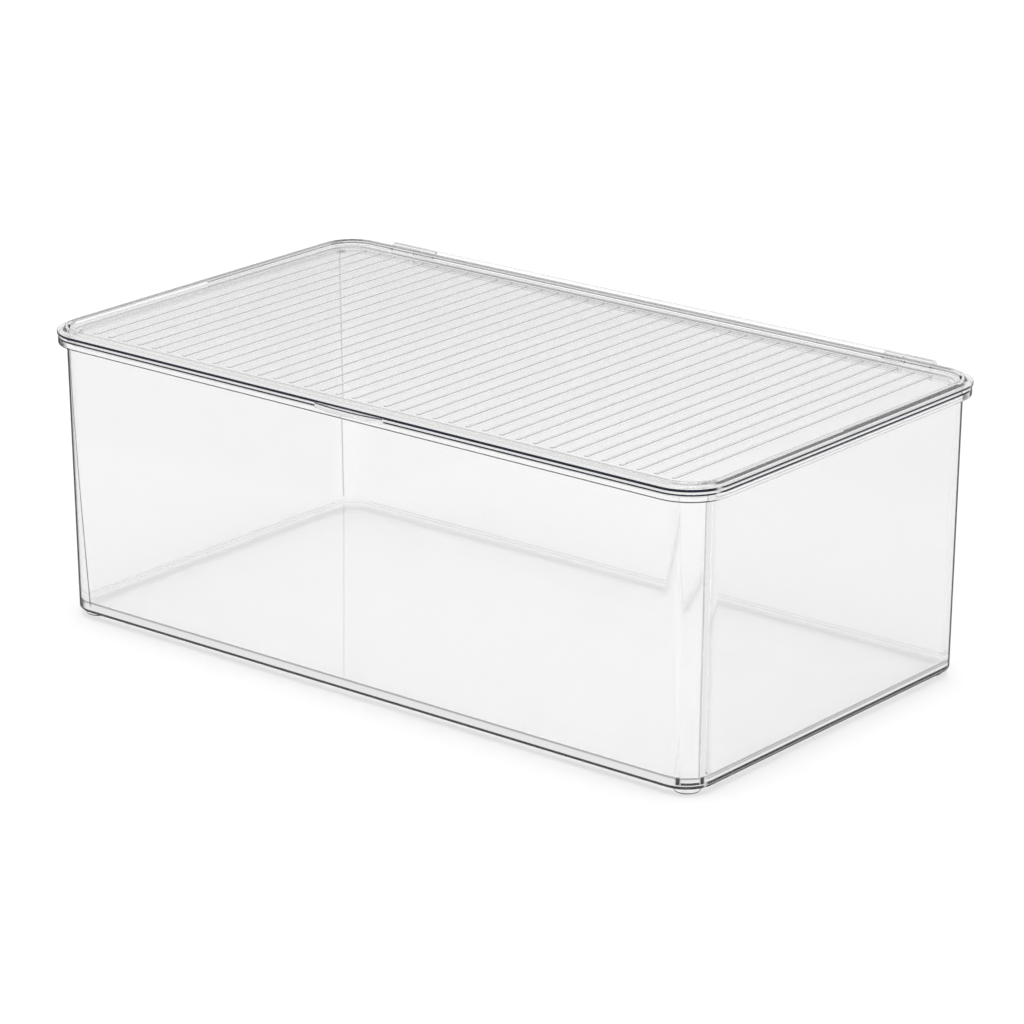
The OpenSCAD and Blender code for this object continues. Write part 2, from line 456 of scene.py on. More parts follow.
def rib_tree():
    """Geometry nodes that join evenly spaced rounded ribs to the lid's panel."""
    tree = bpy.data.node_groups.new("panel_ribs", "GeometryNodeTree")
    face = tree.interface
    face.new_socket("Geometry", in_out="INPUT", socket_type="NodeSocketGeometry")
    sizes = ["Rib count", "Rib pitch", "Rib length", "Rib width", "Rib height", "Panel height", "Middle"]
    for name in sizes:
        kind = "NodeSocketInt" if name == "Rib count" else "NodeSocketFloat"
        face.new_socket(name, in_out="INPUT", socket_type=kind)
    face.new_socket("Finish", in_out="INPUT", socket_type="NodeSocketMaterial")
    face.new_socket("Geometry", in_out="OUTPUT", socket_type="NodeSocketGeometry")
    nodes, links = tree.nodes, tree.links
    start = nodes.new("NodeGroupInput")
    end = nodes.new("NodeGroupOutput")

    def calc(operation, a, b=None):
        node = nodes.new("ShaderNodeMath")
        node.operation = operation
        for socket, value in zip(node.inputs, (a, b)):
            if value is None:
                continue
            if isinstance(value, (int, float)):
                socket.default_value = value
            else:
                links.new(value, socket)
        return node.outputs[0]

    half_width = calc("MULTIPLY", start.outputs["Rib width"], 0.5)
    height = start.outputs["Rib height"]
    squares = calc("ADD", calc("MULTIPLY", half_width, half_width), calc("MULTIPLY", height, height))
    radius = calc("DIVIDE", squares, calc("MULTIPLY", height, 2.0))
    sink = calc("SUBTRACT", radius, height)

    half_run = calc("SUBTRACT", calc("MULTIPLY", start.outputs["Rib length"], 0.5), half_width)
    ball = nodes.new("GeometryNodeMeshUVSphere")
    ball.inputs["Segments"].default_value = RIB_STEPS
    ball.inputs["Rings"].default_value = RIB_STEPS // 2
    links.new(radius, ball.inputs["Radius"])
    turned = nodes.new("GeometryNodeTransform")
    turned.inputs["Rotation"].default_value = (0, 0, math.pi / RIB_STEPS)
    links.new(ball.outputs["Mesh"], turned.inputs["Geometry"])
    laid = nodes.new("GeometryNodeTransform")
    laid.inputs["Rotation"].default_value = (0, math.pi / 2, 0)
    links.new(turned.outputs["Geometry"], laid.inputs["Geometry"])
    spot = nodes.new("GeometryNodeInputPosition")
    parts = nodes.new("ShaderNodeSeparateXYZ")
    moved = nodes.new("ShaderNodeCombineXYZ")
    links.new(spot.outputs[0], parts.inputs[0])
    links.new(parts.outputs["X"], moved.inputs["X"])
    side = calc("SIGN", parts.outputs["Y"])
    links.new(calc("ADD", parts.outputs["Y"], calc("MULTIPLY", side, half_run)), moved.inputs["Y"])
    below = calc("SUBTRACT", calc("MINIMUM", parts.outputs["Z"], sink), sink)
    flatten = calc("DIVIDE", RIB_ROOT * MM, calc("ADD", sink, radius))
    links.new(calc("ADD", calc("MAXIMUM", parts.outputs["Z"], sink), calc("MULTIPLY", below, flatten)),
              moved.inputs["Z"])
    rib = nodes.new("GeometryNodeSetPosition")
    links.new(laid.outputs["Geometry"], rib.inputs["Geometry"])
    links.new(moved.outputs[0], rib.inputs["Position"])

    row = nodes.new("GeometryNodeMeshLine")
    links.new(start.outputs["Rib count"], row.inputs["Count"])
    first = nodes.new("ShaderNodeCombineXYZ")
    step = nodes.new("ShaderNodeCombineXYZ")
    gaps = calc("SUBTRACT", start.outputs["Rib count"], 1.0)
    links.new(calc("MULTIPLY", calc("MULTIPLY", gaps, start.outputs["Rib pitch"]), -0.5), first.inputs["X"])
    links.new(start.outputs["Middle"], first.inputs["Y"])
    links.new(calc("SUBTRACT", start.outputs["Panel height"], sink), first.inputs["Z"])
    links.new(start.outputs["Rib pitch"], step.inputs["X"])
    links.new(first.outputs[0], row.inputs["Start Location"])
    links.new(step.outputs[0], row.inputs["Offset"])
    ribs = nodes.new("GeometryNodeInstanceOnPoints")
    links.new(row.outputs["Mesh"], ribs.inputs["Points"])
    links.new(rib.outputs["Geometry"], ribs.inputs["Instance"])
    real = nodes.new("GeometryNodeRealizeInstances")
    links.new(ribs.outputs["Instances"], real.inputs["Geometry"])
    join = nodes.new("GeometryNodeMeshBoolean")
    join.operation = "UNION"
    join.solver = "EXACT"
    links.new(start.outputs["Geometry"], join.inputs["Mesh 2"])
    links.new(real.outputs["Geometry"], join.inputs["Mesh 2"])
    paint = nodes.new("GeometryNodeSetMaterial")
    links.new(join.outputs["Mesh"], paint.inputs["Geometry"])
    links.new(start.outputs["Finish"], paint.inputs["Material"])
    links.new(paint.outputs["Geometry"], end.inputs["Geometry"])
    return tree


def set_inputs(modifier, values):
    """Sets a geometry nodes modifier's inputs by the names that its tree gives them."""
    for item in modifier.node_group.interface.items_tree:
        if item.in_out == "INPUT" and item.name in values:
            modifier[item.identifier] = values[item.name]


def calculate(nodes, links, operation, *values):
    """One maths node fed by numbers or by other nodes' outputs."""
    node = nodes.new("ShaderNodeMath")
    node.operation = operation
    for socket, value in zip(node.inputs, values):
        if isinstance(value, (int, float)):
            socket.default_value = value
        else:
            links.new(value, socket)
    return node.outputs[0]


def smooth_step(nodes, links, value, low, high):
    """0 below low, 1 above high and a soft change between them."""
    node = nodes.new("ShaderNodeMapRange")
    node.interpolation_type = "SMOOTHSTEP"
    for name, number in (("Value", value), ("From Min", low), ("From Max", high)):
        if isinstance(number, (int, float)):
            node.inputs[name].default_value = number
        else:
            links.new(number, node.inputs[name])
    return node.outputs["Result"]


def looks_outwards(nodes, links, spot, turn, back_face):
    """1 where the surface looks away from the middle of the box, whichever side of it is seen."""
    across = calculate(nodes, links, "MULTIPLY", spot.outputs["X"], turn.outputs["X"])
    along = calculate(nodes, links, "MULTIPLY", spot.outputs["Y"], turn.outputs["Y"])
    sign = calculate(nodes, links, "SUBTRACT", 1.0, calculate(nodes, links, "MULTIPLY", back_face, 2.0))
    outward = calculate(nodes, links, "MULTIPLY", calculate(nodes, links, "ADD", across, along), sign)
    return calculate(nodes, links, "GREATER_THAN", outward, 0.0)


def make_edge_line_group():
    """Masks of a painted dark line, as shade, around the box between two heights, in millimetres, soft at its edges.

    Front is the outside of the front, the back and the corners, Side is the outside of the short ends,
    and Inside is what looks inwards in the back half of the box.
    """
    tree = bpy.data.node_groups.new("edge_line", "ShaderNodeTree")
    for name in ("Low", "High", "Soft", "Back face"):
        tree.interface.new_socket(name, in_out="INPUT", socket_type="NodeSocketFloat")
    for name in ("Front", "Side", "Inside"):
        tree.interface.new_socket(name, in_out="OUTPUT", socket_type="NodeSocketFloat")
    nodes, links = tree.nodes, tree.links

    def calc(operation, *values):
        return calculate(nodes, links, operation, *values)

    start = nodes.new("NodeGroupInput")
    end = nodes.new("NodeGroupOutput")
    place = nodes.new("ShaderNodeTexCoord")
    spot = nodes.new("ShaderNodeSeparateXYZ")
    links.new(place.outputs["Object"], spot.inputs[0])
    height = calc("MULTIPLY", spot.outputs["Z"], 1000.0)
    below = calc("SUBTRACT", start.outputs["Low"], start.outputs["Soft"])
    above = calc("ADD", start.outputs["High"], start.outputs["Soft"])
    rise = smooth_step(nodes, links, height, below, start.outputs["Low"])
    fall = smooth_step(nodes, links, height, start.outputs["High"], above)
    band = calc("SUBTRACT", rise, fall)
    turn = nodes.new("ShaderNodeSeparateXYZ")
    links.new(place.outputs["Normal"], turn.inputs[0])
    tilt = calc("ABSOLUTE", turn.outputs["Z"])
    upright = calc("SUBTRACT", 1.0, smooth_step(nodes, links, tilt, 0.98, 0.999))
    across = calc("SUBTRACT", calc("ABSOLUTE", spot.outputs["X"]), (LENGTH / 2 - EDGE_ZONE) * MM)
    along = calc("SUBTRACT", calc("ABSOLUTE", spot.outputs["Y"]), (DEPTH / 2 - EDGE_ZONE) * MM)
    border = calc("GREATER_THAN", calc("MAXIMUM", across, along), 0.0)
    outside = looks_outwards(nodes, links, spot, turn, start.outputs["Back face"])
    line = calc("MULTIPLY", calc("MULTIPLY", band, upright), border)
    mask = calc("MULTIPLY", line, outside)
    level = calc("SQRT", calc("SUBTRACT", 1.0001, calc("MULTIPLY", tilt, tilt)))
    ends = calc("DIVIDE", calc("ABSOLUTE", turn.outputs["X"]), level)
    side = smooth_step(nodes, links, ends, SIDE_FROM, SIDE_TO)
    links.new(calc("MULTIPLY", mask, side), end.inputs["Side"])
    links.new(calc("MULTIPLY", mask, calc("SUBTRACT", 1.0, side)), end.inputs["Front"])
    behind = calc("GREATER_THAN", spot.outputs["Y"], 0.0)
    links.new(calc("MULTIPLY", calc("SUBTRACT", line, mask), behind), end.inputs["Inside"])
    return tree


def make_crease_group():
    """Masks of painted shade at the bin's corners.

    Line is dark painted along the inner upright creases, Mark is dark painted outside at the level of the floor,
    and Post is a thin dark line painted up the outside of the front left corner.
    """
    tree = bpy.data.node_groups.new("inner_corner", "ShaderNodeTree")
    tree.interface.new_socket("Back face", in_out="INPUT", socket_type="NodeSocketFloat")
    tree.interface.new_socket("Line", in_out="OUTPUT", socket_type="NodeSocketFloat")
    tree.interface.new_socket("Mark", in_out="OUTPUT", socket_type="NodeSocketFloat")
    tree.interface.new_socket("Post", in_out="OUTPUT", socket_type="NodeSocketFloat")
    nodes, links = tree.nodes, tree.links

    def calc(operation, *values):
        return calculate(nodes, links, operation, *values)

    start = nodes.new("NodeGroupInput")
    end = nodes.new("NodeGroupOutput")
    place = nodes.new("ShaderNodeTexCoord")
    spot = nodes.new("ShaderNodeSeparateXYZ")
    turn = nodes.new("ShaderNodeSeparateXYZ")
    links.new(place.outputs["Object"], spot.inputs[0])
    links.new(place.outputs["Normal"], turn.inputs[0])
    size_x = calc("ABSOLUTE", turn.outputs["X"])
    size_y = calc("ABSOLUTE", turn.outputs["Y"])
    smaller = calc("MINIMUM", size_x, size_y)
    line = calc("SUBTRACT", smooth_step(nodes, links, smaller, 0.08, 0.2), smooth_step(nodes, links, smaller, 0.5, 0.62))
    inside = calc("SUBTRACT", 1.0, looks_outwards(nodes, links, spot, turn, start.outputs["Back face"]))
    upright = calc("LESS_THAN", calc("ABSOLUTE", turn.outputs["Z"]), 0.1)
    left = calc("LESS_THAN", spot.outputs["X"], 0.0)
    front = calc("LESS_THAN", spot.outputs["Y"], 0.0)
    chosen = calc("MAXIMUM", calc("GREATER_THAN", size_x, size_y), calc("MULTIPLY", left, front))
    links.new(calc("MULTIPLY", calc("MULTIPLY", line, inside), calc("MULTIPLY", upright, chosen)), end.inputs["Line"])
    height = calc("MULTIPLY", spot.outputs["Z"], 1000.0)
    bar_height = calc("SUBTRACT", smooth_step(nodes, links, height, CORNER_SHADE_LOW - 0.1, CORNER_SHADE_LOW),
                      smooth_step(nodes, links, height, CORNER_SHADE_LOW + 0.9, CORNER_SHADE_LOW + 1.0))
    hook_height = calc("SUBTRACT", smooth_step(nodes, links, height, CORNER_SHADE_LOW - 0.1, CORNER_SHADE_LOW),
                       smooth_step(nodes, links, height, CORNER_SHADE_LOW + 2.6, CORNER_SHADE_LOW + 3.4))
    bar = calc("MULTIPLY", bar_height, smooth_step(nodes, links, smaller, 0.42, 0.5))
    hook = calc("SUBTRACT", smooth_step(nodes, links, smaller, 0.3, 0.36), smooth_step(nodes, links, smaller, 0.44, 0.5))
    mark = calc("MAXIMUM", bar, calc("MULTIPLY", hook, hook_height))
    outside = looks_outwards(nodes, links, spot, turn, start.outputs["Back face"])
    links.new(calc("MULTIPLY", mark, outside), end.inputs["Mark"])
    share = calc("DIVIDE", calc("SUBTRACT", height, FOOT_HEIGHT), BIN_HEIGHT)
    wanted = calc("ADD", calc("MULTIPLY", share, POST_HIGH - POST_LOW), POST_LOW)
    aside = calc("ABSOLUTE", calc("SUBTRACT", calc("MULTIPLY", spot.outputs["X"], -1000.0), wanted))
    thin = calc("SUBTRACT", 1.0, smooth_step(nodes, links, aside, 0.2, 0.5))
    above = calc("MULTIPLY", smooth_step(nodes, links, height, 5.0, 7.0), calc("LESS_THAN", height, RIM_UNDER))
    here = calc("MULTIPLY", calc("MULTIPLY", left, front), calc("MULTIPLY", outside, above))
    links.new(calc("MULTIPLY", calc("MULTIPLY", thin, upright), here), end.inputs["Post"])
    return tree


def make_outline_group():
    """A mask of a painted dark outline, as shade, on the top of the lid's lip, along the left side, the back and their
    corner.
    """
    tree = bpy.data.node_groups.new("top_outline", "ShaderNodeTree")
    for name in ("Width", "Along sides", "At corner"):
        tree.interface.new_socket(name, in_out="INPUT", socket_type="NodeSocketFloat")
    tree.interface.new_socket("Mask", in_out="OUTPUT", socket_type="NodeSocketFloat")
    nodes, links = tree.nodes, tree.links

    def calc(operation, *values):
        return calculate(nodes, links, operation, *values)

    start = nodes.new("NodeGroupInput")
    end = nodes.new("NodeGroupOutput")
    place = nodes.new("ShaderNodeTexCoord")
    spot = nodes.new("ShaderNodeSeparateXYZ")
    links.new(place.outputs["Object"], spot.inputs[0])
    to_left = calc("SUBTRACT", calc("MULTIPLY", spot.outputs["X"], -1000.0), LENGTH / 2 - CORNER)
    to_back = calc("SUBTRACT", calc("MULTIPLY", spot.outputs["Y"], 1000.0), DEPTH / 2 - CORNER)
    far_left = calc("MAXIMUM", to_left, 0.0)
    far_back = calc("MAXIMUM", to_back, 0.0)
    reach = calc("SQRT", calc("ADD", calc("MULTIPLY", far_left, far_left), calc("MULTIPLY", far_back, far_back)))
    inset = calc("SUBTRACT", CORNER, reach)
    near = calc("SUBTRACT", 1.0, smooth_step(nodes, links, inset, start.outputs["Width"],
                                             calc("ADD", start.outputs["Width"], 0.3)))
    height = calc("MULTIPLY", spot.outputs["Z"], 1000.0)
    on_top = smooth_step(nodes, links, height, LID_TOP + LIP_HEIGHT - 0.55, LID_TOP + LIP_HEIGHT - 0.35)
    both = calc("MULTIPLY", smooth_step(nodes, links, to_left, 1.0, 6.0), smooth_step(nodes, links, to_back, 1.0, 6.0))
    strength = calc("ADD", start.outputs["Along sides"], calc(
        "MULTIPLY", both, calc("SUBTRACT", start.outputs["At corner"], start.outputs["Along sides"])))
    on_lip = calc("GREATER_THAN", inset, LIP_INSET - 0.1)
    links.new(calc("MULTIPLY", calc("MULTIPLY", calc("MULTIPLY", near, on_lip), on_top), strength), end.inputs["Mask"])
    return tree


def make_mottle_group():
    """A mask of painted shade: broken dark patches in two of the plastic's corners, standing in for the mottled dark
    that refraction in thick clear plastic shows there.
    """
    tree = bpy.data.node_groups.new("corner_mottle_shade", "ShaderNodeTree")
    for name in ("Low", "High", "Patch size", "Threshold", "Back face"):
        tree.interface.new_socket(name, in_out="INPUT", socket_type="NodeSocketFloat")
    tree.interface.new_socket("Mask", in_out="OUTPUT", socket_type="NodeSocketFloat")
    nodes, links = tree.nodes, tree.links

    def calc(operation, *values):
        return calculate(nodes, links, operation, *values)

    start = nodes.new("NodeGroupInput")
    end = nodes.new("NodeGroupOutput")
    place = nodes.new("ShaderNodeTexCoord")
    spot = nodes.new("ShaderNodeSeparateXYZ")
    turn = nodes.new("ShaderNodeSeparateXYZ")
    links.new(place.outputs["Object"], spot.inputs[0])
    links.new(place.outputs["Normal"], turn.inputs[0])
    height = calc("MULTIPLY", spot.outputs["Z"], 1000.0)
    soft = 0.4
    band = calc("SUBTRACT", smooth_step(nodes, links, height, start.outputs["Low"], calc("ADD", start.outputs["Low"], soft)),
                smooth_step(nodes, links, height, calc("SUBTRACT", start.outputs["High"], soft), start.outputs["High"]))
    smaller = calc("MINIMUM", calc("ABSOLUTE", turn.outputs["X"]), calc("ABSOLUTE", turn.outputs["Y"]))
    rounded_part = smooth_step(nodes, links, smaller, 0.1, 0.35)
    corner = calc("GREATER_THAN", calc("MULTIPLY", spot.outputs["X"], spot.outputs["Y"]), 0.0)
    outside = looks_outwards(nodes, links, spot, turn, start.outputs["Back face"])
    patches = nodes.new("ShaderNodeTexNoise")
    patches.inputs["Detail"].default_value = 2.0
    links.new(place.outputs["Object"], patches.inputs["Vector"])
    links.new(calc("DIVIDE", 1000.0, start.outputs["Patch size"]), patches.inputs["Scale"])
    broken = smooth_step(nodes, links, patches.outputs["Fac"], start.outputs["Threshold"],
                         calc("ADD", start.outputs["Threshold"], 0.06))
    zone = calc("MULTIPLY", calc("MULTIPLY", band, rounded_part), calc("MULTIPLY", corner, outside))
    links.new(calc("MULTIPLY", zone, broken), end.inputs["Mask"])
    return tree


def make_ripple_group():
    """The slow, faint waves that moulding leaves in clear plastic."""
    tree = bpy.data.node_groups.new("moulded_ripple", "ShaderNodeTree")
    tree.interface.new_socket("Wave length", in_out="INPUT", socket_type="NodeSocketFloat")
    tree.interface.new_socket("Height", in_out="OUTPUT", socket_type="NodeSocketFloat")
    nodes, links = tree.nodes, tree.links
    start = nodes.new("NodeGroupInput")
    end = nodes.new("NodeGroupOutput")
    place = nodes.new("ShaderNodeTexCoord")
    waves = nodes.new("ShaderNodeTexNoise")
    waves.inputs["Detail"].default_value = 1.0
    links.new(place.outputs["Object"], waves.inputs["Vector"])
    links.new(calculate(nodes, links, "DIVIDE", 1000.0, start.outputs["Wave length"]), waves.inputs["Scale"])
    links.new(waves.outputs["Fac"], end.inputs["Height"])
    return tree


def make_handling_group():
    """Faint smears from hands, as a roughness that stays near nought."""
    tree = bpy.data.node_groups.new("handling_marks", "ShaderNodeTree")
    for name in ("Smear size", "Most"):
        tree.interface.new_socket(name, in_out="INPUT", socket_type="NodeSocketFloat")
    tree.interface.new_socket("Roughness", in_out="OUTPUT", socket_type="NodeSocketFloat")
    nodes, links = tree.nodes, tree.links
    start = nodes.new("NodeGroupInput")
    end = nodes.new("NodeGroupOutput")
    place = nodes.new("ShaderNodeTexCoord")
    smears = nodes.new("ShaderNodeTexNoise")
    smears.inputs["Detail"].default_value = 3.0
    links.new(place.outputs["Object"], smears.inputs["Vector"])
    links.new(calculate(nodes, links, "DIVIDE", 1000.0, start.outputs["Smear size"]), smears.inputs["Scale"])
    patch = smooth_step(nodes, links, smears.outputs["Fac"], 0.58, 0.75)
    links.new(calculate(nodes, links, "MULTIPLY", patch, start.outputs["Most"]), end.inputs["Roughness"])
    return tree


def make_rib_line_group():
    """A mask of the shaded right side and front end of each rib on the lid's panel."""
    tree = bpy.data.node_groups.new("rib_line", "ShaderNodeTree")
    for name in ("Pitch", "Radius", "Half run", "Thickness"):
        tree.interface.new_socket(name, in_out="INPUT", socket_type="NodeSocketFloat")
    tree.interface.new_socket("Mask", in_out="OUTPUT", socket_type="NodeSocketFloat")
    nodes, links = tree.nodes, tree.links

    def calc(operation, *values):
        return calculate(nodes, links, operation, *values)

    start = nodes.new("NodeGroupInput")
    end = nodes.new("NodeGroupOutput")
    place = nodes.new("ShaderNodeTexCoord")
    spot = nodes.new("ShaderNodeSeparateXYZ")
    links.new(place.outputs["Object"], spot.inputs[0])
    across = calc("MULTIPLY", spot.outputs["X"], 1000.0)
    along = calc("ADD", calc("MULTIPLY", spot.outputs["Y"], 1000.0), MIDDLE_Y)
    height = calc("MULTIPLY", spot.outputs["Z"], 1000.0)
    nearest = calc("MULTIPLY", calc("ROUND", calc("DIVIDE", across, start.outputs["Pitch"])), start.outputs["Pitch"])
    aside = calc("SUBTRACT", across, nearest)
    beyond = calc("MAXIMUM", calc("SUBTRACT", calc("ABSOLUTE", along), start.outputs["Half run"]), 0.0)
    reach = calc("SQRT", calc("ADD", calc("MULTIPLY", aside, aside), calc("MULTIPLY", beyond, beyond)))
    away = calc("ABSOLUTE", calc("SUBTRACT", reach, start.outputs["Radius"]))
    thin = calc("MULTIPLY", start.outputs["Thickness"], 0.5)
    line = calc("SUBTRACT", 1.0, smooth_step(nodes, links, away, thin, start.outputs["Thickness"]))
    right = calc("GREATER_THAN", aside, 0.0)
    front_end = calc("MULTIPLY", calc("GREATER_THAN", beyond, 0.0), calc("LESS_THAN", along, 0.0))
    on_panel = calc("LESS_THAN", calc("ABSOLUTE", calc("SUBTRACT", height, PANEL_TOP)), 0.3)
    in_row = calc("LESS_THAN", calc("ABSOLUTE", across), RIB_PITCH * RIB_COUNT / 2)
    shown = calc("MULTIPLY", calc("MAXIMUM", right, front_end), calc("MULTIPLY", on_panel, in_row))
    links.new(calc("MULTIPLY", line, shown), end.inputs["Mask"])
    return tree


def make_round_edge_group():
    """A mask that is 1 where the surface turns around a corner and 0 on flat walls and tops."""
    tree = bpy.data.node_groups.new("round_edge", "ShaderNodeTree")
    tree.interface.new_socket("Start", in_out="INPUT", socket_type="NodeSocketFloat")
    tree.interface.new_socket("Full", in_out="INPUT", socket_type="NodeSocketFloat")
    tree.interface.new_socket("Mask", in_out="OUTPUT", socket_type="NodeSocketFloat")
    nodes, links = tree.nodes, tree.links
    start = nodes.new("NodeGroupInput")
    end = nodes.new("NodeGroupOutput")
    place = nodes.new("ShaderNodeTexCoord")
    turn = nodes.new("ShaderNodeSeparateXYZ")
    links.new(place.outputs["Normal"], turn.inputs[0])
    sizes = [calculate(nodes, links, "ABSOLUTE", turn.outputs[axis]) for axis in "XYZ"]
    largest = calculate(nodes, links, "MAXIMUM", calculate(nodes, links, "MAXIMUM", sizes[0], sizes[1]), sizes[2])
    flatness = smooth_step(nodes, links, largest, start.outputs["Full"], start.outputs["Start"])
    links.new(calculate(nodes, links, "SUBTRACT", 1.0, flatness), end.inputs["Mask"])
    return tree


edge_line = make_edge_line_group()
round_edge = make_round_edge_group()
rib_line = make_rib_line_group()
corner_mottle_shade = make_mottle_group()
top_outline = make_outline_group()
moulded_ripple = make_ripple_group()
handling_marks = make_handling_group()
inner_corner = make_crease_group()


def clear_plastic(name, colour, density, lines, patches, grazing_shade_sides):
    """Clear plastic with dark lines along its edges."""
    material = bpy.data.materials.new(name)
    material.use_nodes = True
    nodes = material.node_tree.nodes
    links = material.node_tree.links
    shader = nodes["Principled BSDF"]
    shader.inputs["Roughness"].default_value = 0.0
    shader.inputs["IOR"].default_value = 1.49
    shader.inputs["Transmission Weight"].default_value = 1.0
    # Painted shade: rounded edges seen at a grazing angle are mixed towards near-black, standing in for the dark edges
    # that refraction gives.
    grazing = nodes.new("ShaderNodeLayerWeight")
    grazing.inputs["Blend"].default_value = 0.5
    rim = nodes.new("ShaderNodeGroup")
    rim.node_tree = round_edge
    rim.inputs["Start"].default_value = 0.99
    rim.inputs["Full"].default_value = 0.96
    outline = smooth_step(nodes, links, grazing.outputs["Facing"], FACING_FROM, FACING_TO)
    dark = calculate(nodes, links, "MULTIPLY", outline, rim.outputs["Mask"])
    path = nodes.new("ShaderNodeLightPath")
    surface = nodes.new("ShaderNodeNewGeometry")
    back_face = surface.outputs["Backfacing"]
    # Painted shade: dark lines along the edges at the listed heights, most of them only for camera rays, standing in
    # for the dark refracted edges.
    for where, low, high, soft, darkness in lines:
        line = nodes.new("ShaderNodeGroup")
        line.node_tree = edge_line
        line.inputs["Low"].default_value = low
        line.inputs["High"].default_value = high
        line.inputs["Soft"].default_value = soft
        links.new(back_face, line.inputs["Back face"])
        share = calculate(nodes, links, "MULTIPLY", line.outputs[where], darkness)
        if where != "Inside":
            share = calculate(nodes, links, "MULTIPLY", share, path.outputs["Is Camera Ray"])
        dark = calculate(nodes, links, "MAXIMUM", dark, share)
    corner = nodes.new("ShaderNodeGroup")
    corner.node_tree = inner_corner
    links.new(back_face, corner.inputs["Back face"])
    corner_shade = calculate(nodes, links, "MULTIPLY", corner.outputs["Mark"], path.outputs["Is Camera Ray"])
    rib = nodes.new("ShaderNodeGroup")
    rib.node_tree = rib_line
    rib.inputs["Pitch"].default_value = RIB_PITCH
    rib.inputs["Radius"].default_value = RIB_WIDTH / 2
    rib.inputs["Half run"].default_value = (DEPTH - 2 * RIB_END_MARGIN - RIB_WIDTH) / 2
    rib.inputs["Thickness"].default_value = RIB_LINE
    patch_shade = 0.0
    for low, high in patches:
        mottle = nodes.new("ShaderNodeGroup")
        mottle.node_tree = corner_mottle_shade
        mottle.inputs["Low"].default_value = low
        mottle.inputs["High"].default_value = high
        mottle.inputs["Patch size"].default_value = MOTTLE_SIZE
        mottle.inputs["Threshold"].default_value = MOTTLE_FROM
        links.new(back_face, mottle.inputs["Back face"])
        patch_shade = calculate(nodes, links, "MAXIMUM", patch_shade, mottle.outputs["Mask"])
    patch_shade = calculate(nodes, links, "MULTIPLY", patch_shade, path.outputs["Is Camera Ray"])
    border = nodes.new("ShaderNodeGroup")
    border.node_tree = top_outline
    border.inputs["Width"].default_value = OUTLINE_WIDTH
    border.inputs["Along sides"].default_value = OUTLINE_SIDES
    border.inputs["At corner"].default_value = OUTLINE_CORNER
    border_shade = calculate(nodes, links, "MULTIPLY", border.outputs["Mask"], path.outputs["Is Camera Ray"])
    post_shade = calculate(nodes, links, "MULTIPLY", corner.outputs["Post"], path.outputs["Is Camera Ray"])
    # Painted shade mixed into the colour: dark inner creases, dark marks outside the corners at floor level, one shaded
    # side of each rib, broken dark patches, a dark line up the front left post and a dark outline on the lid's lip.
    for mask, darkness in (
        (corner.outputs["Line"], CREASE_DARKNESS), (corner_shade, CORNER_SHADE_DARKNESS),
        (rib.outputs["Mask"], RIB_DARKNESS), (patch_shade, MOTTLE_DARKNESS), (post_shade, POST_DARKNESS),
        (border_shade, 1.0),
    ):
        dark = calculate(nodes, links, "MAXIMUM", dark, calculate(nodes, links, "MULTIPLY", mask, darkness))
    # The plastic's own colour, mixed towards near-black wherever the painted shade is.
    colour_and_shade = nodes.new("ShaderNodeMix")
    colour_and_shade.data_type = "RGBA"
    colour_and_shade.inputs["A"].default_value = colour
    colour_and_shade.inputs["B"].default_value = SHADE_LINE_COLOUR
    links.new(dark, colour_and_shade.inputs["Factor"])
    links.new(colour_and_shade.outputs["Result"], shader.inputs["Base Color"])
    ripple = nodes.new("ShaderNodeGroup")
    ripple.node_tree = moulded_ripple
    ripple.inputs["Wave length"].default_value = 14
    bump = nodes.new("ShaderNodeBump")
    bump.inputs["Strength"].default_value = RIPPLE_STRENGTH
    bump.inputs["Distance"].default_value = 0.1 * MM
    links.new(ripple.outputs["Height"], bump.inputs["Height"])
    links.new(bump.outputs["Normal"], shader.inputs["Normal"])
    smears = nodes.new("ShaderNodeGroup")
    smears.node_tree = handling_marks
    smears.inputs["Smear size"].default_value = 26
    smears.inputs["Most"].default_value = MARK_ROUGHNESS
    links.new(smears.outputs["Roughness"], shader.inputs["Roughness"])
    absorb = nodes.new("ShaderNodeVolumeAbsorption")
    absorb.inputs["Color"].default_value = ABSORB_COLOUR
    absorb.inputs["Density"].default_value = density
    lamp = nodes.new("ShaderNodeBsdfTransparent")
    place = nodes.new("ShaderNodeTexCoord")
    spot = nodes.new("ShaderNodeSeparateXYZ")
    links.new(place.outputs["Object"], spot.inputs[0])
    across = calculate(nodes, links, "SUBTRACT", calculate(nodes, links, "ABSOLUTE", spot.outputs["X"]),
                       (LENGTH / 2 - EDGE_ZONE) * MM)
    along = calculate(nodes, links, "SUBTRACT", calculate(nodes, links, "ABSOLUTE", spot.outputs["Y"]),
                      (DEPTH / 2 - EDGE_ZONE) * MM)
    edge = calculate(nodes, links, "GREATER_THAN", calculate(nodes, links, "MAXIMUM", across, along), 0.0)
    foot_edge = calculate(nodes, links, "SUBTRACT", 1.0, smooth_step(
        nodes, links, spot.outputs["Z"], SHADE_LOW * MM, SHADE_HIGH * MM))
    shade = nodes.new("ShaderNodeMix")
    shade.data_type = "RGBA"
    links.new(calculate(nodes, links, "MULTIPLY", edge, foot_edge), shade.inputs["Factor"])
    shade.inputs["A"].default_value = (SHADE_CLEAR, SHADE_CLEAR, SHADE_CLEAR, 1)
    shade.inputs["B"].default_value = (SHADE_EDGE, SHADE_EDGE, SHADE_EDGE, 1)
    links.new(shade.outputs["Result"], lamp.inputs["Color"])
    mix = nodes.new("ShaderNodeMixShader")
    links.new(calculate(nodes, links, "MAXIMUM", path.outputs["Is Shadow Ray"], path.outputs["Is Diffuse Ray"]),
              mix.inputs["Fac"])
    links.new(shader.outputs["BSDF"], mix.inputs[1])
